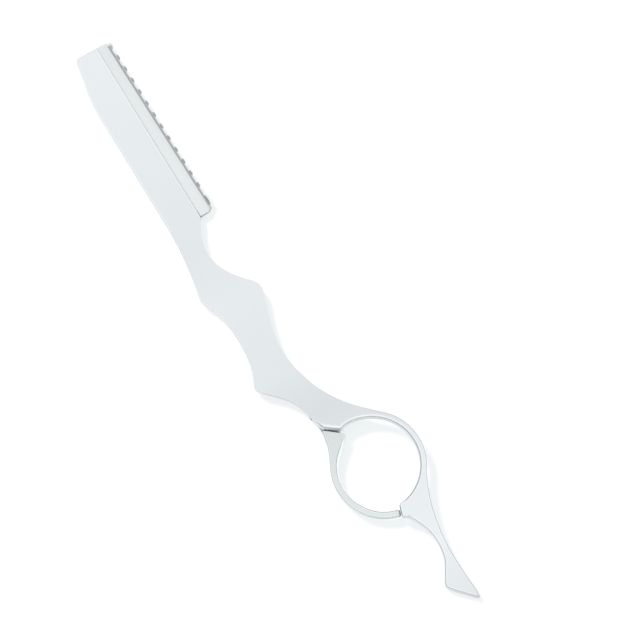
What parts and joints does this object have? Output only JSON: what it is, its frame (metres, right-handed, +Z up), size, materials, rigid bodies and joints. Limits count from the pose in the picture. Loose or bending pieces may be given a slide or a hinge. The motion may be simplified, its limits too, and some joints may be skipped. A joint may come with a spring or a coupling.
{
  "type": "hair thinning razor",
  "caption": "Flat satin steel thinning razor with a wavy grip, finger ring and hooked tail, clamping a comb-guarded blade cartridge in spring-shut jaws",
  "frame": {"origin": "Middle of the razor's footprint, at the height of the table it lies on", "axes": "+X runs along the razor from the blade end to the tail, +Y points out of the blade's edge, +Z is up from the table, out of the upper leaf's broad face"},
  "size_m": [0.2004, 0.032, 0.0066],
  "materials": {
    "satin_steel": "fine satin, near white under soft light",
    "holder_steel": "smooth rolled sheet",
    "comb_steel": "bright stamped sheet",
    "blade_steel": "dark hardened strip with a ground edge",
    "pressed_steel": "plain pressed sheet",
    "turned_steel": "turned",
    "spring_steel": "drawn wire"
  },
  "bodies": {
    "upper": {"main_leaf": "satin_steel", "pivot_bracket": "pressed_steel", "pivot_pin": "turned_steel", "bracket_rivet_front": "turned_steel", "bracket_rivet_rear": "turned_steel", "heel_peg": "turned_steel", "torsion_spring": "spring_steel"},
    "lower": {"clamp_leaf": "satin_steel"},
    "cartridge": {"cartridge_holder": "holder_steel", "comb_guard": "comb_steel", "blade": "blade_steel"}
  },
  "joints": [
    {"name": "jaw_open", "type": "hinge", "parent": "upper", "child": "lower", "pos_m": [0.03165, -0.00305, 0.00197], "axis": [0, -1, 0], "range_deg": [0, 4], "stiffness_Nm_per_rad": 0.5, "springref_deg": -5.73, "deforming": ["torsion_spring"]},
    {"name": "cartridge_slide", "type": "slide", "parent": "upper", "child": "cartridge", "axis": [-1, 0, 0], "range_m": [0, 0.066]}
  ]
}
